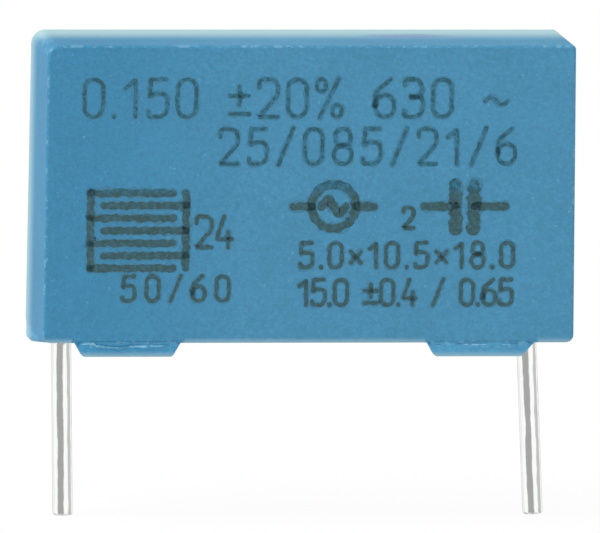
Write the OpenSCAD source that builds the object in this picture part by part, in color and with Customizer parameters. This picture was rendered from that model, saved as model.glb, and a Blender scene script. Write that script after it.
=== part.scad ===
// Box film capacitor: a wound film element with sprayed metal ends and two tinned
// wire leads, potted in a moulded box that is open underneath.
//
// Origin: axis of the left lead, in the plane of the circuit board that the feet
// stand on. +X runs along the body to the right lead, the marked face looks to -Y
// and +Z is up, so both leads point down.

/* [Box] */
// Width (depth) of the box at its open rim
body_w = 4.9; // [4:0.1:9]
// Height of the box from its open rim to the top face
body_h = 9.67; // [8.5:0.01:16]
// Thickness of the two long walls
long_wall = 0.5; // [0.35:0.05:0.8]
// Thickness of the two end walls
end_wall = 0.4; // [0.3:0.05:0.5]
// Thickness of the closed top
top_wall = 0.6; // [0.4:0.05:1.2]
// Mould draft of the end walls, in degrees
end_draft = 0.25; // [0:0.05:1]
// Mould draft of the long walls, in degrees
long_draft = 0.8; // [0:0.05:1]
// Radius of the corner between the left end wall and the top
left_corner_r = 0.45; // [0.15:0.05:0.9]
// Radius of the corner between the right end wall and the top
right_corner_r = 0.15; // [0.15:0.05:0.9]
// Corner radius of the marked face at the rim
rim_corner_r = 0.25; // [0.2:0.05:0.5]
// Radius of the edges all round the front and back faces
edge_r = 0.1; // [0.05:0.01:0.14]

/* [Stand-off feet] */
// How far the feet stand below the rim
foot_h = 0.45; // [0.2:0.01:0.8]
// Length of the left front foot along its underside
left_foot_l = 2.92; // [1.5:0.01:3.5]
// Length of the right front foot along its underside
right_foot_l = 2.82; // [1.5:0.01:3.5]
// Distance from the axis of the left lead to the underside of its front foot
left_foot_gap = 0.42; // [0.2:0.01:1]
// Distance from the axis of the right lead to the underside of its front foot
right_foot_gap = 0.5; // [0.2:0.01:1]
// Length of a rear foot along its underside
rear_foot_l = 3.9; // [2:0.1:6]
// Length of the level underside of a foot along an end wall
end_foot_l = 0.7; // [0.4:0.05:2]
// How far a foot's faces lie inside the faces of its long wall
foot_setback = 0.09; // [0.06:0.01:0.15]
// How far a foot's faces lie inside the faces of its end wall
end_foot_setback = 0.02; // [0.01:0.01:0.08]
// Run of the slope at the end of a foot
foot_slope = 0.26; // [0.05:0.01:0.5]
// Run of the flatter slope at the outer end of the right front foot
right_foot_slope = 0.42; // [0.05:0.01:0.6]
// Radius of a foot's lower corners
foot_corner_r = 0.14; // [0.05:0.01:0.18]

/* [Leads] */
// Distance between the two leads at the board, which sets the length of the box
lead_pitch = 15.22; // [10:0.01:27.5]
// Clearance between the left lead and the end wall, at the narrow top of the cavity
left_lead_gap = 0.12; // [0.02:0.01:0.6]
// Clearance between the right lead and the end wall, at the narrow top of the cavity
right_lead_gap = 0.43; // [0.02:0.01:0.6]
// Diameter of the tinned wire
lead_d = 0.65; // [0.5:0.05:0.8]
// Length of a lead below the board plane
lead_l = 5.45; // [3:0.05:30]
// Lean of the left lead below the board plane, in degrees towards +X
left_lean = 1.3; // [-4:0.1:4]
// Lean of the right lead below the board plane, in degrees towards +X
right_lean = 3.0; // [-4:0.1:4]
// Depth of the flat where a lead is welded to its sprayed end
weld_flat = 0.12; // [0.05:0.01:0.2]
// Chamfer of the cut tip
tip_chamfer = 0.06; // [0.02:0.01:0.15]

/* [Film element] */
// Clearance between the film element and the long walls
element_side_gap = 0.25; // [0.1:0.05:0.6]
// Clearance between the film element and the top wall
element_top_gap = 0.25; // [0.1:0.05:1]
// Depth of resin under the film element
element_cover = 0.83; // [0.3:0.01:2]
// Thickness of the sprayed metal on each end
spray_t = 0.4; // [0.2:0.05:0.8]
// Distance from the top of the roll down to the top of each lead
weld_top_gap = 1.2; // [0.6:0.1:3]

/* [Potting resin] */
// How far the resin lies inside the rim where it wets the walls
resin_edge_recess = 0.1; // [0.05:0.05:0.3]
// How much deeper the resin lies between the walls
resin_dish = 0.22; // [0.05:0.01:0.4]
// Width of the resin's level edge along the walls
resin_edge_w = 0.04; // [0.01:0.01:0.2]
// Height that the resin climbs each lead
resin_climb = 0.2; // [0.05:0.01:0.4]
// How far the climbing resin reaches out from each lead
resin_skirt = 0.35; // [0.1:0.05:0.6]

/* [Hidden] */

// Smoothness of the rounded box and of round pieces
box_fn = 32;
round_fn = 64;
// Length by which a cutting shape runs past what it cuts
past = 1;
// Thickness of the slices that a hull spans
slice_t = 0.02;

// The cavity is smaller at the top than at the rim by the draft of two walls.
cavity_h = body_h - top_wall;
cavity_w = body_w - 2 * long_wall;
cavity_top_w = cavity_w - 2 * cavity_h * tan(long_draft);
cavity_top_l = lead_pitch + lead_d + left_lead_gap + right_lead_gap;
cavity_l = cavity_top_l + 2 * cavity_h * tan(end_draft);
cavity_edge_r = edge_r;
cavity_corner_r = rim_corner_r;

body_l = cavity_l + 2 * end_wall;
body_x = (lead_pitch + right_lead_gap - left_lead_gap) / 2;

// The feet are rooted in the walls, above the rounded corners of the rim. The corner
// circle of a foot in an end wall has to stay within its thickness.
foot_root_z = foot_h + rim_corner_r;
end_foot_x0 = body_l / 2 - end_wall + end_foot_setback;
end_foot_x1 = body_l / 2 - end_foot_setback;
end_foot_r = min(rim_corner_r, (end_foot_x1 - end_foot_x0) / 2);
rear_foot_y = body_w / 2 - foot_setback;

resin_edge_z = foot_h + resin_edge_recess;
resin_z = resin_edge_z + resin_dish;

// The roll fills what its clearances leave of the cavity.
element_w = cavity_top_w - 2 * element_side_gap;
element_low_z = resin_z + element_cover;
element_high_z = foot_h + cavity_h - element_top_gap;
element_h = element_high_z - element_low_z;
element_z = (element_high_z + element_low_z) / 2;
// Distance from a lead's axis to the sprayed face that it is welded to
weld_offset = lead_d / 2 - weld_flat;
element_x0 = weld_offset;
element_x1 = lead_pitch - weld_offset;
lead_top_z = element_high_z - weld_top_gap;

box_blue = [0.29, 0.55, 0.68];
resin_blue = [0.33, 0.47, 0.55];
film_grey = [0.80, 0.79, 0.74];
spray_grey = [0.60, 0.61, 0.62];
tin = [0.83, 0.83, 0.80];

// Disc with its axis along Y and a rounded rim: one corner of a face, to be hulled
module corner_disc(corner_r, round_r) {
    rotate([90, 0, 0])
        rotate_extrude($fn = box_fn)
            intersection() {
                translate([corner_r - round_r, 0])
                    circle(r = round_r, $fn = box_fn);
                translate([0, -round_r])
                    square([corner_r, 2 * round_r]);
            }
}

// Box with drafted walls and rounded edges that stands on z = 0, widest there
module drafted_box(l, w, h, low_r, left_r, right_r, round_r) {
    top_l = l - 2 * h * tan(end_draft);
    top_w = w - 2 * h * tan(long_draft);
    hull()
        for (side = [-1, 1], face = [-1, 1]) {
            high_r = side < 0 ? left_r : right_r;
            translate([side * (l / 2 - low_r), face * (w / 2 - round_r), low_r])
                corner_disc(low_r, round_r);
            translate([side * (top_l / 2 - high_r), face * (top_w / 2 - round_r), h - high_r])
                corner_disc(high_r, round_r);
        }
}

// The space inside the box, run out past the rim
module cavity() {
    run_out = cavity_corner_r + past;
    translate([body_x, 0, foot_h - run_out])
        drafted_box(cavity_l + 2 * run_out * tan(end_draft), cavity_w + 2 * run_out * tan(long_draft),
                    cavity_h + run_out, cavity_corner_r, cavity_corner_r, cavity_corner_r, cavity_edge_r);
}

// Flat outline with every corner rounded by a true arc; the corners run anticlockwise
module rounded_outline(corners, radii) {
    count = len(corners);
    function towards(i, j) = (corners[j % count] - corners[i]) / norm(corners[j % count] - corners[i]);
    function half_angle(i) = acos(towards(i, i + 1) * towards(i, i + count - 1)) / 2;
    function touch(i, j) = corners[i] + towards(i, j) * radii[i] / tan(half_angle(i));
    function centre(i) =
        let (middle = towards(i, i + 1) + towards(i, i + count - 1))
        corners[i] + middle / norm(middle) * radii[i] / sin(half_angle(i));

    polygon([for (i = [0 : count - 1]) each [touch(i, i + count - 1), touch(i, i + 1)]]);
    for (i = [0 : count - 1])
        if (radii[i] > 0)
            translate(centre(i))
                circle(r = radii[i], $fn = round_fn);
}

// A foot in a long wall, drawn as seen from the front: its underside runs from x0 to x1
// at z = 0, each end slopes up and out by its own run, and r1 rounds the corner at x1
module foot(x0, x1, run0, run1, r1) {
    spread = foot_root_z / foot_h;
    rotate([90, 0, 0])
        linear_extrude(height = long_wall - 2 * foot_setback, center = true)
            rounded_outline([[x0, 0], [x1, 0],
                             [x1 + run1 * spread, foot_root_z], [x0 - run0 * spread, foot_root_z]],
                            [foot_corner_r, r1, 0, 0]);
}

// A foot in the right end wall: level at the rear, from where its underside rises to the
// rim at the front wall, with its outer lower edge rounded like the rim's corner
module end_foot() {
    stations = [[rear_foot_y, 0], [rear_foot_y - end_foot_l, 0], [long_wall / 2 - body_w / 2, foot_h]];
    hull()
        for (station = stations)
            translate([0, station.x, 0])
                rotate([90, 0, 0])
                    linear_extrude(height = slice_t)
                        rounded_outline([[end_foot_x0, station.y], [end_foot_x1, station.y],
                                         [end_foot_x1, foot_root_z], [end_foot_x0, foot_root_z]],
                                        [0, end_foot_r, 0, 0]);
}

// The front feet stand beside the leads; the rear feet turn the corners of the box
module feet() {
    wall_y = body_w / 2 - long_wall / 2;
    translate([left_foot_gap, -wall_y, 0])
        foot(0, left_foot_l, foot_slope, foot_slope, foot_corner_r);
    translate([lead_pitch - right_foot_gap, -wall_y, 0])
        foot(-right_foot_l, 0, foot_slope, right_foot_slope, foot_corner_r);
    for (side = [0, 1])
        translate([body_x, 0, 0])
            mirror([side, 0, 0]) {
                translate([0, wall_y, 0])
                    foot(end_foot_x1 - rear_foot_l, end_foot_x1, foot_slope, 0, end_foot_r);
                end_foot();
            }
}

// Moulded box, open underneath, with stand-off feet under its walls
module case() {
    color(box_blue)
        union() {
            difference() {
                translate([body_x, 0, foot_h])
                    drafted_box(body_l, body_w, body_h, rim_corner_r, left_corner_r, right_corner_r, edge_r);
                cavity();
            }
            feet();
        }
}

// Outline of the pressed roll, seen along X: flat sides and half-round top and bottom
module roll_outline() {
    straight = element_h - element_w;
    square([element_w, straight], center = true);
    for (side = [-1, 1])
        translate([0, side * straight / 2])
            circle(d = element_w, $fn = round_fn);
}

// A stretch of the roll's outline from x0 to x1
module roll_length(x0, x1) {
    translate([x0, 0, element_z])
        rotate([90, 0, 90])
            linear_extrude(height = x1 - x0)
                roll_outline();
}

module wound_element() {
    color(film_grey)
        roll_length(element_x0 + spray_t, element_x1 - spray_t);
}

module end_spray_left() {
    color(spray_grey)
        roll_length(element_x0, element_x0 + spray_t);
}

module end_spray_right() {
    color(spray_grey)
        roll_length(element_x1 - spray_t, element_x1);
}

// Half of space on one side of the plane that halves a lead's bend
module bend_side(lean, side) {
    reach = 4 * lead_d;
    rotate([0, -lean / 2, 0])
        translate([0, 0, side * reach / 2])
            cube(reach, center = true);
}

// Round wire along Z, bent by lean where it meets the board plane, with a cut tip
module bent_wire(lean) {
    difference() {
        translate([0, 0, -lead_d])
            cylinder(h = lead_top_z + lead_d, d = lead_d, $fn = round_fn);
        bend_side(lean, -1);
    }
    difference() {
        rotate([0, -lean, 0])
            translate([0, 0, -lead_l]) {
                translate([0, 0, tip_chamfer])
                    cylinder(h = lead_l - tip_chamfer + lead_d, d = lead_d, $fn = round_fn);
                cylinder(h = tip_chamfer, d1 = lead_d - 2 * tip_chamfer, d2 = lead_d, $fn = round_fn);
            }
        bend_side(lean, 1);
    }
}

// A lead with the flat that seats on the sprayed end; inward is the side of the roll
module lead(x, inward, lean) {
    color(tin)
        difference() {
            translate([x, 0, 0])
                bent_wire(lean);
            translate([x + inward * (weld_offset + lead_d / 2), 0, element_z])
                cube([lead_d, 2 * lead_d, element_h], center = true);
        }
}

module lead_left() {
    lead(0, 1, left_lean);
}

module lead_right() {
    lead(lead_pitch, -1, right_lean);
}

// Resin that has climbed one lead, as a cone that hangs from the dished surface
module lead_skirt(x) {
    translate([x, 0, resin_z - resin_climb])
        cylinder(h = resin_climb, d1 = lead_d, d2 = lead_d + 2 * resin_skirt, $fn = round_fn);
}

// The dished underside of the resin, which leaves a fillet along the walls
module dish() {
    fillet_r = resin_dish;
    dish_l = cavity_l - 2 * resin_edge_w;
    dish_w = cavity_w - 2 * resin_edge_w;
    hull()
        for (side = [-1, 1], face = [-1, 1])
            translate([body_x + side * (dish_l / 2 - fillet_r), face * (dish_w / 2 - fillet_r), resin_edge_z])
                sphere(r = fillet_r, $fn = box_fn);
}

module potting_resin() {
    color(resin_blue)
        difference() {
            intersection() {
                cavity();
                union() {
                    difference() {
                        translate([body_x - body_l / 2, -body_w / 2, resin_edge_z])
                            cube([body_l, body_w, body_h]);
                        dish();
                    }
                    lead_skirt(0);
                    lead_skirt(lead_pitch);
                }
            }
            wound_element();
            end_spray_left();
            end_spray_right();
            lead_left();
            lead_right();
        }
}

case();
potting_resin();
wound_element();
end_spray_left();
end_spray_right();
lead_left();
lead_right();
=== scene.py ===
"""Looks of a box film capacitor: its materials, its print and a white studio around it."""
import math
import random

import bpy
from mathutils import Matrix, Vector, noise


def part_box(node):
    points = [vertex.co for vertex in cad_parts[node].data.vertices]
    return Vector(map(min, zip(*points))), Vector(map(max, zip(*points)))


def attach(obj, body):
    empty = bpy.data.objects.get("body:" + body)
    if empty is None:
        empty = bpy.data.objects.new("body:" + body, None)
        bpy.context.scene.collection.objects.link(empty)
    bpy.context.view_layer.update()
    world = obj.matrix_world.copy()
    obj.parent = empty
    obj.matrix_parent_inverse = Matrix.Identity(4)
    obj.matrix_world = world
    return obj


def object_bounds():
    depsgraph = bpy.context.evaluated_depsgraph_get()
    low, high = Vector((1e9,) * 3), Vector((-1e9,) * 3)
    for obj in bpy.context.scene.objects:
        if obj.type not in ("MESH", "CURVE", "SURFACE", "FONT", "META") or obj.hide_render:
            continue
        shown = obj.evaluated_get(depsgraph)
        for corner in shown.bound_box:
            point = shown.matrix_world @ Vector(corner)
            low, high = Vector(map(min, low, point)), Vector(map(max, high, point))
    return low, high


MM = 0.001
random.seed(7)

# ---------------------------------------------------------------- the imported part
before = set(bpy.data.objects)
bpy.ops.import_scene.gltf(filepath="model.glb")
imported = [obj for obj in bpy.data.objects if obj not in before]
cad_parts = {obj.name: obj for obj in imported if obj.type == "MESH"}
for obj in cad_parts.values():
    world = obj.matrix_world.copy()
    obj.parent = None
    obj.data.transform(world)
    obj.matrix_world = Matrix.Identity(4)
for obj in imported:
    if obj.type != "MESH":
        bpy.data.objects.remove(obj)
cad_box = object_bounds()
case_low, case_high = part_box("case")
box_centre = (case_low + case_high) / 2
FLOOR_Z = cad_box[0][2]
# The rim stands this far above the undersides of the feet, as in the CAD source
RIM_Z = 0.45 * MM
# How far the front feet lie inside the front wall, as in the CAD source
FOOT_SETBACK = 0.09 * MM


def front_plane():
    """A point on the drafted front face and the face's outward normal."""
    faces = [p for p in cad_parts["case"].data.polygons if p.normal.y < -0.99]
    face = max(faces, key=lambda p: p.area)
    return face.center.copy(), face.normal.copy()


# ---------------------------------------------------------------- node helpers
class Nodes:
    """A node tree with short ways to add nodes to it."""

    def __init__(self, tree):
        self.tree = tree

    def add(self, kind, **settings):
        node = self.tree.nodes.new(kind)
        for key, value in settings.items():
            setattr(node, key, value)
        return node

    def link(self, source, target):
        self.tree.links.new(source, target)

    def put(self, value, target):
        """Links a socket, or sets a plain number or colour."""
        if isinstance(value, bpy.types.NodeSocket):
            self.link(value, target)
        elif target.type == "VECTOR":
            target.default_value = value[:3]
        else:
            target.default_value = value

    def maths(self, operation, first, second=0.0):
        node = self.add("ShaderNodeMath", operation=operation)
        self.put(first, node.inputs[0])
        self.put(second, node.inputs[1])
        return node.outputs[0]

    def axes(self, vector):
        node = self.add("ShaderNodeSeparateXYZ")
        self.link(vector, node.inputs[0])
        return node.outputs

    def smooth_step(self, value, low, high, at_low=0.0, at_high=1.0):
        """at_low up to low and at_high from high on, smooth between; low may be above high."""
        if low > high:
            low, high, at_low, at_high = high, low, at_high, at_low
        node = self.add("ShaderNodeMapRange", interpolation_type="SMOOTHSTEP")
        self.put(value, node.inputs["Value"])
        numbers = {"From Min": low, "From Max": high, "To Min": at_low, "To Max": at_high}
        for name, number in numbers.items():
            node.inputs[name].default_value = number
        return node.outputs[0]

    def mix(self, factor, first, second, kind="RGBA"):
        """The first value where factor is 0 and the second where it is 1."""
        node = self.add("ShaderNodeMix", data_type=kind)
        self.put(factor, node.inputs["Factor"])
        self.put(first, node.inputs["A"])
        self.put(second, node.inputs["B"])
        return node.outputs["Result"]

    def mix_surfaces(self, factor, first, second):
        node = self.add("ShaderNodeMixShader")
        for socket, source in zip(node.inputs, (factor, first, second)):
            self.link(source, socket)
        return node.outputs[0]


class Shader(Nodes):
    """A material whose patterns are placed and sized in millimetres."""

    def __init__(self, name, roughness, metallic=0.0, ior=1.46):
        self.material = bpy.data.materials.new(name)
        self.material.use_nodes = True
        super().__init__(self.material.node_tree)
        self.surface = self.tree.nodes["Principled BSDF"]
        self.surface.inputs["Roughness"].default_value = roughness
        self.surface.inputs["Metallic"].default_value = metallic
        self.surface.inputs["IOR"].default_value = ior
        scale = self.add("ShaderNodeVectorMath", operation="SCALE")
        self.link(self.add("ShaderNodeTexCoord").outputs["Object"], scale.inputs[0])
        scale.inputs["Scale"].default_value = 1 / MM
        self.place = scale.outputs[0]

    def noise(self, per_mm, detail=2.0, stretch=(1, 1, 1), shift=0.0):
        """Noise with per_mm blobs to the millimetre, drawn out along an axis by stretch."""
        mapping = self.add("ShaderNodeMapping")
        self.link(self.place, mapping.inputs["Vector"])
        mapping.inputs["Scale"].default_value = [1 / s for s in stretch]
        mapping.inputs["Location"].default_value = (shift, 0, 0)
        node = self.add("ShaderNodeTexNoise")
        self.link(mapping.outputs[0], node.inputs["Vector"])
        node.inputs["Scale"].default_value = per_mm
        node.inputs["Detail"].default_value = detail
        return node.outputs["Fac"]

    def tint(self, colour, factor, low, high):
        """The colour made darker or lighter as factor runs from 0 to 1."""
        node = self.add("ShaderNodeMapRange")
        self.put(factor, node.inputs["Value"])
        node.inputs["To Min"].default_value = low
        node.inputs["To Max"].default_value = high
        scale = self.add("ShaderNodeVectorMath", operation="SCALE")
        self.put(colour, scale.inputs[0])
        self.link(node.outputs[0], scale.inputs["Scale"])
        return scale.outputs[0]

    def bump(self, layers):
        """Stacks (height, depth in millimetres) layers on the surface."""
        normal = None
        for height, depth in layers:
            node = self.add("ShaderNodeBump")
            self.put(height, node.inputs["Height"])
            node.inputs["Distance"].default_value = depth * MM
            if normal:
                self.link(normal, node.inputs["Normal"])
            normal = node.outputs[0]
        self.link(normal, self.surface.inputs["Normal"])

    def finish(self, colour):
        self.put(colour, self.surface.inputs["Base Color"])
        return self.material


def rgba(red, green, blue):
    return (red, green, blue, 1.0)


# ---------------------------------------------------------------- materials
BOX_BLUE = rgba(0.066, 0.260, 0.428)
# The plastic's colour at the left end, darkened by a painted shade
LEFT_SHADE_BLUE = rgba(0.050, 0.236, 0.408)
PALE_BLUE = rgba(0.26, 0.50, 0.66)
# Pale colour of the flash lines, a painted highlight
FLASH_HIGHLIGHT_BLUE = rgba(0.21, 0.52, 0.74)
# Pale colour of the painted highlight towards the rear edges
REAR_HIGHLIGHT_PALE = rgba(0.425, 0.622, 0.643)
# Colour of the painted glow in the thin lower edges
GLOW_BLUE = rgba(0.26, 0.44, 0.54)
SMEAR_PURPLE = rgba(0.16, 0.20, 0.44)
INK_DARK = rgba(0.024, 0.106, 0.150)
INK_GREY = rgba(0.038, 0.096, 0.106)
INK_PALE_GREY = rgba(0.044, 0.125, 0.160)
INK_THIN = rgba(0.036, 0.165, 0.258)
INK_BLEED = rgba(0.056, 0.206, 0.325)
RESIN_BLUE = rgba(0.085, 0.165, 0.225)
CRATER_BLUE = rgba(0.03, 0.05, 0.07)
TIN = rgba(0.968, 0.985, 0.955)
FILM_GREY = rgba(0.62, 0.60, 0.55)
ZINC = rgba(0.40, 0.40, 0.41)
# The lengths below are in millimetres, like the patterns.
# Heights between which the ink of the lower rows gives way to that of the upper rows
INK_CHANGE = (5.2, 5.6)
# Places along X between which a painted shade, darkest at the left end, fades: the plastic goes from
# the darker left colour to BOX_BLUE
LEFT_SHADE_FADE = (0.0, 7.0)
# Places along Y between which the top and the end walls are painted paler towards the rear, as a
# painted highlight, and how far they get
TOP_HIGHLIGHT_FADE, TOP_HIGHLIGHT = (-1.0, 1.75), 0.85
END_HIGHLIGHT_FADE, END_HIGHLIGHT = (0.2, 2.8), 0.8
# How pale the chips along the edges and the specks are, from 0 to 1
EDGE_WEAR = 0.35
SPECK_WEAR = 0.3
# How much lighter than the walls the feet are painted, as painted light, and how softly that sets in
# round the rim
FOOT_PAINTED_LIGHT = 1.3
FOOT_LIGHT_FADE = (0.06, -0.05)
# Middle, half size and strength of the smear on the top face
SMEAR_AT, SMEAR_SIZE, SMEAR = (11.2, 0.3), (1.5, 0.7), 0.45
# Height and strength of the painted glow in the thin lower edges, where along Y it ends behind the
# front, and the feet's spans along the front
GLOW_H, GLOW = 0.20, 0.95
GLOW_FADE = (-2.0, -2.3)
FOOT_SPANS = ((0.0, 3.76), (11.5, 15.3))


def box_plastic():
    """Matt moulded plastic: faint clouds, fine grain, pale wear on the edges, a purple smear, and
    painted light: shade at the left end, paler rear edges, lighter feet and glowing lower edges.
    """
    s = Shader("moulded_plastic", roughness=0.55, ior=1.28)
    x, y, z = s.axes(s.place)
    clouds = s.noise(0.55, detail=3, shift=3.0)
    blotches = s.noise(6.0, detail=3, shift=11.0)
    grain = s.noise(14.0, detail=2, shift=5.0)
    # Painted shade: the plastic is darker towards the left end
    colour = s.mix(s.smooth_step(x, *LEFT_SHADE_FADE), LEFT_SHADE_BLUE, BOX_BLUE)
    colour = s.tint(colour, clouds, 0.92, 1.08)
    colour = s.tint(colour, blotches, 0.84, 1.16)
    colour = s.tint(colour, grain, 0.80, 1.20)

    # Painted light: the feet are painted lighter than the walls
    rim = RIM_Z / MM
    painted_light_on_feet = s.smooth_step(z, *(rim + shift for shift in FOOT_LIGHT_FADE))
    colour = s.tint(colour, painted_light_on_feet, 1.0, FOOT_PAINTED_LIGHT)

    # Rounded edges: there no part of the normal is close to 1
    normal = s.add("ShaderNodeNewGeometry").outputs["True Normal"]
    nx, ny, nz = (s.maths("ABSOLUTE", part) for part in s.axes(normal))
    straight = s.maths("MAXIMUM", nx, s.maths("MAXIMUM", ny, nz))
    edge = s.smooth_step(straight, 0.997, 0.97)
    chips = s.smooth_step(s.noise(5.0, detail=5, shift=21.0), 0.54, 0.66)
    wear = s.maths("MULTIPLY", s.maths("MULTIPLY", edge, chips), EDGE_WEAR)
    colour = s.mix(wear, colour, PALE_BLUE)

    # Sparse pale specks all over
    specks = s.smooth_step(s.noise(6.5, detail=1, shift=31.0), 0.735, 0.79)
    colour = s.mix(s.maths("MULTIPLY", specks, SPECK_WEAR), colour, PALE_BLUE)

    # Painted highlight: the top and the end walls, but not the front and the back, are painted paler
    # towards the rear
    rear_highlight = 0.0
    for fade, strength, facing in ((TOP_HIGHLIGHT_FADE, TOP_HIGHLIGHT, nz), (END_HIGHLIGHT_FADE, END_HIGHLIGHT, nx)):
        part = s.maths("MULTIPLY", s.smooth_step(y, *fade), s.smooth_step(facing, 0.5, 0.9))
        rear_highlight = s.maths("ADD", s.maths("MULTIPLY", part, strength), rear_highlight)
    colour = s.mix(rear_highlight, colour, REAR_HIGHLIGHT_PALE)

    # Painted glow: the thin lower edges of the front wall and its feet are painted paler, as if lit
    # from below
    in_span = 0.0
    for start, end in FOOT_SPANS:
        rise = s.smooth_step(x, start, start + 0.1)
        fall = s.smooth_step(x, end, end - 0.1)
        in_span = s.maths("MAXIMUM", s.maths("MULTIPLY", rise, fall), in_span)
    foot_glow = s.smooth_step(z, GLOW_H, 0.0)
    rim_glow = s.smooth_step(z, rim + GLOW_H, rim)
    rim_glow = s.maths("MULTIPLY", rim_glow, s.maths("SUBTRACT", 1.0, in_span))
    glow = s.maths("MULTIPLY", s.maths("MAXIMUM", foot_glow, rim_glow), s.smooth_step(y, *GLOW_FADE))
    colour = s.mix(s.maths("MULTIPLY", glow, GLOW), colour, GLOW_BLUE)

    # A faint purple smear with a ragged edge, only on the top face
    squares = []
    for place, middle, half_size in zip((x, y), SMEAR_AT, SMEAR_SIZE):
        share = s.maths("DIVIDE", s.maths("SUBTRACT", place, middle), half_size)
        squares.append(s.maths("POWER", share, 2.0))
    reach = s.maths("SQRT", s.maths("ADD", *squares))
    reach = s.maths("ADD", reach, s.maths("MULTIPLY", s.noise(1.6, detail=3, shift=41.0), 1.2))
    smear = s.maths("MULTIPLY", s.smooth_step(reach, 1.75, 1.15), s.smooth_step(nz, 0.9, 0.99))
    smear = s.maths("MULTIPLY", smear, s.smooth_step(z, 8.0, 9.0))
    colour = s.mix(s.maths("MULTIPLY", smear, SMEAR), colour, SMEAR_PURPLE)

    s.bump([(blotches, 0.004), (grain, 0.0025)])
    return s.finish(colour)


def ink(name, upper, lower):
    """Printing ink in (dark, thin) colours for the upper and the lower rows."""
    s = Shader(name, roughness=0.6, ior=1.3)
    _, _, z = s.axes(s.place)
    height = s.smooth_step(z, *INK_CHANGE)
    dark, thin = (s.mix(height, low, high) for low, high in zip(lower, upper))
    patches = s.smooth_step(s.noise(7.0, detail=3, shift=2.0), 0.42, 0.62)
    fine = s.noise(16.0, detail=1, shift=8.0)
    return s.finish(s.tint(s.mix(patches, dark, thin), fine, 0.7, 1.3))


def flash_highlight():
    """Plastic painted pale in patches, a painted highlight, with the blue showing between."""
    s = Shader("flash_highlight_plastic", roughness=0.45)
    patches = s.smooth_step(s.noise(3.2, detail=3, shift=6.0), 0.42, 0.62)
    return s.finish(s.mix(patches, BOX_BLUE, FLASH_HIGHLIGHT_BLUE))


def resin():
    """Potting resin: dark, glossy and a little uneven, with small craters."""
    s = Shader("potting_resin", roughness=0.22, ior=1.55)
    clouds = s.noise(0.8, detail=3)
    craters = s.smooth_step(s.noise(2.6, detail=1, shift=9.0), 0.68, 0.78)
    colour = s.tint(RESIN_BLUE, clouds, 0.8, 1.2)
    colour = s.mix(s.maths("MULTIPLY", craters, 0.3), colour, CRATER_BLUE)
    s.bump([(clouds, 0.05), (s.maths("SUBTRACT", 1.0, craters), 0.03)])
    return s.finish(colour)


def tinned_wire():
    """Bright tinned wire whose coat lies in slight waves along it."""
    s = Shader("tinned_wire", roughness=0.13, metallic=1.0)
    waves = s.noise(1.1, detail=2, stretch=(1, 1, 1.5))
    grain = s.noise(9.0, detail=3, stretch=(1, 1, 2), shift=4.0)
    s.bump([(waves, 0.075), (grain, 0.003)])
    return s.finish(s.tint(TIN, grain, 0.97, 1.02))


def wound_film():
    """Metallised film seen edge on: fine pale layers."""
    s = Shader("wound_film", roughness=0.35)
    layers = s.noise(6.0, detail=2, stretch=(40, 1, 1))
    s.bump([(layers, 0.003)])
    return s.finish(s.tint(FILM_GREY, layers, 0.85, 1.1))


def sprayed_metal():
    """Zinc sprayed on the ends of the roll: dull and grainy."""
    s = Shader("sprayed_metal", roughness=0.6, metallic=0.9)
    grains = s.noise(9.0, detail=4)
    s.bump([(grains, 0.02)])
    return s.finish(s.tint(ZINC, grains, 0.75, 1.2))


def dress(node, material):
    """Gives a CAD node one material in place of its plain ones."""
    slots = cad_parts[node].data.materials
    slots.clear()
    slots.append(material)


dress("case", box_plastic())
dress("potting_resin", resin())
dress("wound_element", wound_film())
dress("end_spray_left", sprayed_metal())
dress("end_spray_right", sprayed_metal())
wire = tinned_wire()
dress("lead_left", wire)
dress("lead_right", wire)


# ---------------------------------------------------------------- strokes laid on a face
def round_corners(points, closed=False):
    """A path through (x, y) points; a third number rounds that corner by its radius."""
    count = len(points)
    path = []
    for i, point in enumerate(points):
        corner = Vector(point[:2])
        radius = point[2] if len(point) > 2 else 0.0
        if radius == 0.0 or (not closed and i in (0, count - 1)):
            path.append(corner)
            continue
        before = Vector(points[i - 1][:2]) - corner
        after = Vector(points[(i + 1) % count][:2]) - corner
        half = before.angle(after) / 2
        # The round takes up at most half of each side
        run = min(radius / math.tan(half), before.length * 0.5, after.length * 0.5)
        radius = run * math.tan(half)
        inwards = (before.normalized() + after.normalized()).normalized()
        middle = corner + inwards * radius / math.sin(half)
        start = corner + before.normalized() * run - middle
        turn = start.angle_signed(corner + after.normalized() * run - middle)
        steps = max(2, round(abs(turn) / math.radians(15)))
        for k in range(steps + 1):
            path.append(middle + Matrix.Rotation(-turn * k / steps, 2) @ start)
    return path


def resample(path, step, closed):
    """The path's points at even steps."""
    if closed:
        path = path + [path[0]]
    lengths = [(b - a).length for a, b in zip(path, path[1:])]
    total = sum(lengths)
    count = max(2, round(total / step))
    places = []
    i, walked = 0, 0.0
    for k in range(count if closed else count + 1):
        target = total * k / count
        while i < len(lengths) - 1 and walked + lengths[i] < target:
            walked += lengths[i]
            i += 1
        share = (target - walked) / lengths[i] if lengths[i] else 0.0
        places.append(path[i].lerp(path[i + 1], min(1.0, share)))
    return places


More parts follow.
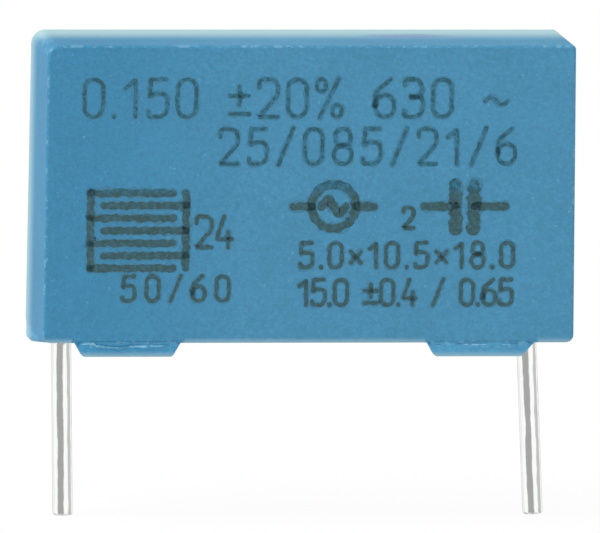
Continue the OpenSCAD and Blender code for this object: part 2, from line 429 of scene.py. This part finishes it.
class Strokes:
    """Flat strokes with round ends that lie on a plane, gathered into one mesh."""

    STEP = 0.035 * MM
    # How deep a stroke's underside lies in the face
    SINK = 0.003 * MM
    # Where round the end of a stroke its rings lie, in degrees from the last full ring
    CAP_ANGLES = (75, 50, 25)
    # Length over which an edge wanders, and what sets the two edges' noise apart
    WANDER = 0.16 * MM
    EDGE_SHIFTS = (0.0, 50.0)

    def __init__(self, origin, across, up, thickness, wobble, bleed=0.0, thin_side=1.0):
        """wobble is how far edges wander, as a share of half the width; bleed widens every
        stroke; thin_side is the share of the thickness that a stroke's right side keeps."""
        self.origin, self.across, self.up = origin, across, up
        self.out = across.cross(up)
        self.thickness, self.wobble, self.bleed, self.thin_side = thickness, wobble, bleed, thin_side
        self.points, self.faces = [], []

    def place(self, flat, height):
        """A point on the plane, raised by height."""
        return self.origin + self.across * flat.x + self.up * flat.y + self.out * height

    def ring(self, centre, side, left, right):
        """The four corners of a stroke's section."""
        top, low = self.thickness, -self.SINK
        thin = top * self.thin_side
        for reach, height in ((-left, top), (right, thin), (right, low), (-left, low)):
            self.points.append(self.place(centre + side * reach, height))

    def draw(self, points, width, closed=False):
        """One stroke through points, given in metres on the plane."""
        width = width + self.bleed
        path = resample(round_corners(points, closed), self.STEP, closed)
        count = len(path)
        seed = random.uniform(0, 100)
        rings = []
        for i, centre in enumerate(path):
            ahead = path[(i + 1) % count] if closed or i < count - 1 else centre
            behind = path[i - 1] if closed or i > 0 else centre
            along = (ahead - behind).normalized()
            side = Vector((along.y, -along.x))
            edges = []
            for shift in self.EDGE_SHIFTS:
                spot = Vector((centre.x, centre.y, 0)) / self.WANDER + Vector((seed, shift, 0))
                edges.append(width / 2 * (1 + self.wobble * noise.noise(spot)))
            rings.append((centre, side, edges[0], edges[1], along))
        if not closed:
            first, last = rings[0], rings[-1]
            rings = self.cap(first, -1) + rings + self.cap(last, 1)[::-1]
        start = len(self.points)
        for centre, side, left, right, _ in rings:
            self.ring(centre, side, left, right)
        total = len(rings)
        for i in range(total if closed else total - 1):
            a, b = start + 4 * i, start + 4 * ((i + 1) % total)
            for k in range(4):
                n = (k + 1) % 4
                self.faces.append((a + k, b + k, b + n, a + n))
        if not closed:
            self.faces.append((start + 3, start + 2, start + 1, start))
            end = start + 4 * (total - 1)
            self.faces.append((end, end + 1, end + 2, end + 3))

    def cap(self, ring, way):
        """Rings that round off an end, from the outermost inwards."""
        centre, side, left, right, along = ring
        rings = []
        for angle in self.CAP_ANGLES:
            shrink, reach = math.cos(math.radians(angle)), math.sin(math.radians(angle))
            spot = centre + along * way * reach * (left + right) / 2
            rings.append((spot, side, left * shrink, right * shrink, along))
        return rings

    def build(self, name, material):
        mesh = bpy.data.meshes.new(name)
        mesh.from_pydata(self.points, [], self.faces)
        mesh.update()
        mesh.materials.append(material)
        piece = bpy.data.objects.new(name, mesh)
        bpy.context.scene.collection.objects.link(piece)
        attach(piece, "root")


# ---------------------------------------------------------------- the printed marking
# One cell is 1 high and about 0.5 wide. Each stroke is a list of (x, y) or (x, y, corner
# radius); a stroke that starts with "loop" is closed.
def loop(x0, y0, x1, y1, radius):
    """A closed rectangle with rounded corners."""
    return ["loop", (x0, y0, radius), (x1, y0, radius), (x1, y1, radius), (x0, y1, radius)]


def wave(x0, x1, middle, height):
    """One full wave from x0 to x1."""
    steps = 14
    return [
        (x0 + (x1 - x0) * k / steps, middle + height * math.sin(2 * math.pi * k / steps))
        for k in range(steps + 1)
    ]


GLYPHS = {
    "0": (0.5, [loop(0, 0, 0.5, 1, 0.25)]),
    "1": (0.34, [[(0, 0.76), (0.26, 1, 0.02), (0.26, 0)]]),
    "2": (0.5, [[(0, 0.78), (0, 1, 0.24), (0.5, 1, 0.24), (0.5, 0.58, 0.2), (0, 0), (0.5, 0)]]),
    "3": (0.5, [
        [(0.01, 0.85), (0.01, 1, 0.16), (0.47, 1, 0.22), (0.47, 0.54, 0.22), (0.18, 0.54)],
        [(0.2, 0.54), (0.5, 0.54, 0.24), (0.5, 0, 0.25), (0, 0, 0.2), (0, 0.17)],
    ]),
    "4": (0.5, [[(0.24, 1), (0, 0.26, 0.02), (0.5, 0.26)], [(0.38, 0.5), (0.38, 0)]]),
    "5": (0.5, [[
        (0.46, 1), (0.05, 1), (0.02, 0.52, 0.02), (0.14, 0.62, 0.1),
        (0.5, 0.62, 0.25), (0.5, 0, 0.25), (0, 0, 0.2), (0, 0.15),
    ]]),
    "6": (0.5, [loop(0, 0, 0.5, 0.58, 0.25), [(0.4, 1), (0, 0.66, 0.3), (0, 0.28)]]),
    "8": (0.5, [loop(0.03, 0.53, 0.47, 1, 0.21), loop(0, 0, 0.5, 0.53, 0.24)]),
    "±": (0.5, [[(0, 0.56), (0.5, 0.56)], [(0.25, 0.32), (0.25, 0.8)], [(0, 0.08), (0.5, 0.08)]]),
    "×": (0.5, [[(0.04, 0.2), (0.46, 0.64)], [(0.04, 0.64), (0.46, 0.2)]]),
    "~": (0.6, [wave(0, 0.6, 0.42, 0.1)]),
    "/": (0.42, [[(0, -0.02), (0.42, 1.02)]]),
    "%": (0.66, [
        loop(0, 0.68, 0.24, 1, 0.12),
        loop(0.42, 0, 0.66, 0.32, 0.12),
        [(0.08, -0.02), (0.58, 1.02)],
    ]),
    ".": (0.06, [[(0.03, 0), (0.03, 0.02)]]),
    " ": (0.36, []),
}


def write(strokes, text, left, right, low, height, width):
    """Text in even gaps from left to right, on the line at low."""
    cells = [GLYPHS[sign] for sign in text]
    gap = ((right - left) / height - sum(cell[0] for cell in cells)) / max(1, len(cells) - 1)
    x = left / height
    for advance, drawn in cells:
        for stroke in drawn:
            closed = stroke[0] == "loop"
            points = stroke[1:] if closed else stroke
            scaled = [
                ((x + px) * height, low + py * height, *(r * height for r in radius))
                for px, py, *radius in points
            ]
            strokes.draw(scaled, width, closed)
        x += advance + gap


def comb_symbol(strokes, left, right, low, high, width):
    """Two combs of plates that lie in each other, as in the section of a wound film."""
    fingers = 7
    # How far a plate's free end stays clear of the other comb
    inset = 0.42 * MM
    for side in (left, right):
        strokes.draw([(side, low), (side, high)], width)
    for k in range(fingers):
        y = low + (high - low) * k / (fingers - 1)
        start, end = (left, right - inset) if k % 2 == 0 else (left + inset, right)
        strokes.draw([(start, y), (end, y)], width)


def ring_symbol(strokes, left, right, low, high, width):
    """A source of alternating current: a ring with a wave in it and a wire on each side."""
    radius = (high - low) / 2
    x, y = (left + right) / 2, (high + low) / 2
    # Just under the radius, so each side of the square keeps some length between its corners
    corner = radius * 0.999
    strokes.draw([
        (x - radius, low, corner), (x + radius, low, corner),
        (x + radius, high, corner), (x - radius, high, corner),
    ], width, closed=True)
    strokes.draw(wave(x - radius * 0.55, x + radius * 0.55, y, radius * 0.3), width)
    strokes.draw([(left, y), (x - radius, y)], width)
    strokes.draw([(x + radius, y), (right, y)], width)


def plate_symbol(strokes, left, right, low, high, width):
    """A capacitor: two plates with a wire to each."""
    x, y = (left + right) / 2, (high + low) / 2
    gap = 0.30 * MM
    for side, end in ((-1, left), (1, right)):
        strokes.draw([(x + side * gap, low), (x + side * gap, high)], width * 1.5)
        strokes.draw([(x + side * gap, y), (end, y)], width)


LINE = 0.125 * MM
COMB_LINE = LINE * 1.9
SYMBOL_LINE = LINE * 2.2
# Text, then its left end, right end, base line and height in millimetres
ROWS = (
    ("0.150 ±20% 630 ~", 1.25, 15.04, 7.35, 1.22),
    ("25/085/21/6", 5.68, 15.30, 5.82, 1.14),
    ("50/60", 2.56, 6.02, 1.38, 0.80),
    ("5.0×10.5×18.0", 8.33, 15.28, 2.46, 0.80),
    ("15.0 ±0.4 / 0.65", 8.33, 15.26, 1.24, 0.82),
    ("24", 4.94, 6.10, 3.12, 1.0),
    ("2", 11.68, 12.22, 3.74, 0.66),
)
# Symbol, its line, then its left, right, low and high edges in millimetres
SYMBOLS = (
    (comb_symbol, COMB_LINE, 1.50, 4.60, 2.44, 4.88),
    (ring_symbol, SYMBOL_LINE, 8.08, 10.72, 3.72, 5.16),
    (plate_symbol, SYMBOL_LINE, 12.36, 15.00, 3.72, 5.16),
)


def marking(name, material, bleed, thickness):
    """Rows of plain numbers and three circuit symbols, in the layout of a printed rating."""
    point, normal = front_plane()
    across = Vector((1, 0, 0))
    up = normal.cross(across)
    origin = point + up * ((RIM_Z - point.z) / up.z)
    origin.x = case_low.x
    strokes = Strokes(origin, across, up, thickness, wobble=0.5, bleed=bleed)
    for text, *edges in ROWS:
        write(strokes, text, *(edge * MM for edge in edges), LINE)
    for symbol, line, *edges in SYMBOLS:
        symbol(strokes, *(edge * MM for edge in edges), line)
    strokes.build(name, material)


# ---------------------------------------------------------------- flash
# All in millimetres, along X and above the rim
BEVELS = ((0.38, 3.40), (11.84, 14.86))
BEVEL_Z, BEVEL_W = -0.06, 0.22
# Width of each line, then the places that it runs through
FLASH_LINES = (
    (0.03, (
        (0.70, 0.00), (0.88, -0.10), (1.51, -0.145), (1.62, -0.17), (1.70, -0.12), (3.20, -0.08),
    )),
    (0.035, ((0.36, -0.025), (0.60, -0.035), (0.80, -0.03))),
    (0.03, ((0.46, 0.01), (0.76, 0.005))),
    (0.075, ((0.88, -0.10), (1.12, -0.115))),
    (0.05, ((1.12, -0.125), (1.51, -0.15))),
    (0.09, ((1.58, -0.17), (1.65, -0.165))),
    (0.06, ((1.95, -0.10), (2.34, -0.095))),
    (0.085, ((2.38, -0.105), (2.66, -0.10))),
    (0.06, ((11.99, -0.095), (12.04, -0.10))),
    (0.045, ((12.60, -0.055), (13.00, -0.05), (13.56, -0.055))),
    (0.03, ((14.08, -0.05), (14.58, -0.05))),
)
# How far the first line stays behind the front wall, and how much higher each next one lies
LINE_SETBACK, LINE_RISE = 0.012 * MM, 0.001 * MM


def flash():
    """Ragged flash where the front wall meets each front foot, on a bevel under the rim."""
    origin = Vector((0, case_low.y + FOOT_SETBACK, RIM_Z))
    across, up = Vector((1, 0, 0)), Vector((0, 0, 1))
    # A bevel runs from just behind the wall's face down to the face of the foot
    bevel = Strokes(origin, across, up, thickness=FOOT_SETBACK * 0.97, wobble=0.1, thin_side=0.0)
    for start, end in BEVELS:
        bevel.draw([(start * MM, BEVEL_Z * MM), (end * MM, BEVEL_Z * MM)], BEVEL_W * MM)
    bevel.build("flash_bevels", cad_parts["case"].data.materials[0])

    lines = Strokes(origin, across, up, thickness=FOOT_SETBACK - LINE_SETBACK, wobble=0.6)
    for width, run in FLASH_LINES:
        # Each line lies higher than the last, so no two faces share a plane
        lines.thickness += LINE_RISE
        lines.draw([(x * MM, z * MM) for x, z in run], width * MM)
    # The lines are real flash ridges, painted pale as a highlight along the step under the rim
    lines.build("flash_lines", flash_highlight())


bleed_ink = ink("ink_bleed", (INK_BLEED, INK_BLEED), (INK_BLEED, INK_BLEED))
marking("ink_bleed", bleed_ink, bleed=0.085 * MM, thickness=0.002 * MM)
printing_ink = ink("printing_ink", (INK_DARK, INK_THIN), (INK_GREY, INK_PALE_GREY))
marking("printed_marking", printing_ink, bleed=0.0, thickness=0.004 * MM)
flash()


# ---------------------------------------------------------------- studio
FRONT_AZIMUTH = -8.0
WHITE = rgba(1, 1, 1)
AMBIENT = 0.66
# Zones of the studio that shiny things see darker: middle and half width in degrees,
# measured from the front of the studio towards the right, and brightness. The zone at the
# back is given from both sides, because the angle breaks there.
DARK_ZONES = (
    (-16.0, 35.0, 0.39), (95.0, 25.0, 0.55), (-117.0, 14.0, 0.84),
    (180.0, 32.0, 0.50), (-180.0, 32.0, 0.50),
)
ZONE_SOFTNESS = 4.0
# Below this slope shiny things see a darker ground, which sets in over the softness
GROUND_SLOPE = -0.25
GROUND_SOFTNESS = 0.15
GROUND_BRIGHTNESS = 0.75
# Half the floor's length, in metres
FLOOR_HALF = 1.2
FLOOR_GREY = rgba(0.88, 0.88, 0.88)
# How much of the floor's shading, and so of the shadow on it, the eye sees
SHADOW_SHARE = 0.06


def make_world():
    """White to the eye and in reflections, but for the dark zones; even light elsewhere."""
    world = bpy.data.worlds.new("studio")
    bpy.context.scene.world = world
    world.use_nodes = True
    w = Nodes(world.node_tree)
    x, y, z = w.axes(w.add("ShaderNodeTexCoord").outputs["Generated"])
    angle = w.maths("ARCTAN2", x, w.maths("MULTIPLY", y, -1.0))
    angle = w.maths("SUBTRACT", angle, math.radians(FRONT_AZIMUTH))
    shade = w.smooth_step(z, GROUND_SLOPE - GROUND_SOFTNESS, GROUND_SLOPE, GROUND_BRIGHTNESS, 1.0)
    for middle, half_width, brightness in DARK_ZONES:
        away = w.maths("ABSOLUTE", w.maths("SUBTRACT", angle, math.radians(middle)))
        start = math.radians(half_width - ZONE_SOFTNESS)
        end = math.radians(half_width + ZONE_SOFTNESS)
        shade = w.maths("MULTIPLY", shade, w.smooth_step(away, start, end, brightness, 1.0))

    rays = w.add("ShaderNodeLightPath").outputs
    mirrored = w.maths("MAXIMUM", rays["Is Glossy Ray"], rays["Is Transmission Ray"])
    strength = w.mix(mirrored, AMBIENT, shade, kind="FLOAT")
    background = world.node_tree.nodes["Background"]
    background.inputs["Color"].default_value = WHITE
    w.link(w.mix(rays["Is Camera Ray"], strength, 1.0, kind="FLOAT"), background.inputs["Strength"])


def make_floor():
    """Plain white floor at the tips of the leads that keeps a soft shadow."""
    h = FLOOR_HALF
    corners = [(-h, -h), (h, -h), (h, h), (-h, h)]
    mesh = bpy.data.meshes.new("floor")
    mesh.from_pydata([(x, y, FLOOR_Z) for x, y in corners], [], [(0, 1, 2, 3)])
    mesh.update()
    floor = bpy.data.objects.new("floor", mesh)
    bpy.context.scene.collection.objects.link(floor)
    floor.visible_glossy = False

    material = bpy.data.materials.new("floor")
    material.use_nodes = True
    material.node_tree.nodes.clear()
    f = Nodes(material.node_tree)
    lit = f.add("ShaderNodeBsdfDiffuse")
    lit.inputs["Color"].default_value = FLOOR_GREY
    white = f.add("ShaderNodeEmission")
    white.inputs["Strength"].default_value = 1.0
    eye = f.add("ShaderNodeLightPath").outputs["Is Camera Ray"]
    above = f.mix_surfaces(f.maths("MULTIPLY", eye, 1 - SHADOW_SHARE), lit.outputs[0], white.outputs[0])
    below = f.add("ShaderNodeBsdfTransparent").outputs[0]
    side = f.add("ShaderNodeNewGeometry").outputs["Backfacing"]
    output = f.add("ShaderNodeOutputMaterial")
    f.link(f.mix_surfaces(side, above, below), output.inputs["Surface"])
    mesh.materials.append(material)


def softbox(name, azimuth, elevation, distance, size, watts):
    """A square lamp that looks at the middle of the box."""
    a, e = math.radians(azimuth), math.radians(elevation)
    away = Vector((math.sin(a) * math.cos(e), -math.cos(a) * math.cos(e), math.sin(e)))
    data = bpy.data.lights.new(name, "AREA")
    data.shape = "SQUARE"
    data.size = size
    data.energy = watts
    lamp = bpy.data.objects.new(name, data)
    turn = away.to_track_quat("Z", "Y").to_matrix().to_4x4()
    lamp.matrix_world = Matrix.Translation(box_centre + away * distance) @ turn
    bpy.context.scene.collection.objects.link(lamp)


make_world()
make_floor()
softbox("top_left_softbox", azimuth=-75, elevation=48, distance=0.8, size=0.5, watts=4.9)
softbox("right_softbox", azimuth=60, elevation=30, distance=0.9, size=0.4, watts=0.5)

# ---------------------------------------------------------------- camera
CAM_AZIMUTH = -7.5
CAM_ELEVATION = 7.0
CAM_ROLL = 0.85
# Short enough for the far limit of the view tool, which turns this camera round the part
CAM_DISTANCE = 0.78
VIEW_WIDTH = 19.44 * MM
# Where the camera looks, right of and above the middle of the box
AIM_RIGHT = 0.0 * MM
AIM_UP = -2.40 * MM


def make_camera():
    azimuth, elevation = math.radians(CAM_AZIMUTH), math.radians(CAM_ELEVATION)
    right = Vector((math.cos(azimuth), math.sin(azimuth), 0))
    back = Vector((
        math.sin(azimuth) * math.cos(elevation),
        -math.cos(azimuth) * math.cos(elevation),
        math.sin(elevation),
    ))
    up = back.cross(right)
    aim = box_centre + right * AIM_RIGHT + up * AIM_UP
    data = bpy.data.cameras.new("camera")
    data.sensor_width = 36
    data.lens = data.sensor_width * CAM_DISTANCE / VIEW_WIDTH
    data.clip_start = 0.01
    data.clip_end = 10
    camera = bpy.data.objects.new("camera", data)
    turn = back.to_track_quat("Z", "Y").to_matrix().to_4x4()
    roll = Matrix.Rotation(math.radians(CAM_ROLL), 4, "Z")
    camera.matrix_world = Matrix.Translation(aim + back * CAM_DISTANCE) @ turn @ roll
    bpy.context.scene.collection.objects.link(camera)
    bpy.context.scene.camera = camera


make_camera()
bpy.context.scene.view_settings.view_transform = "Standard"
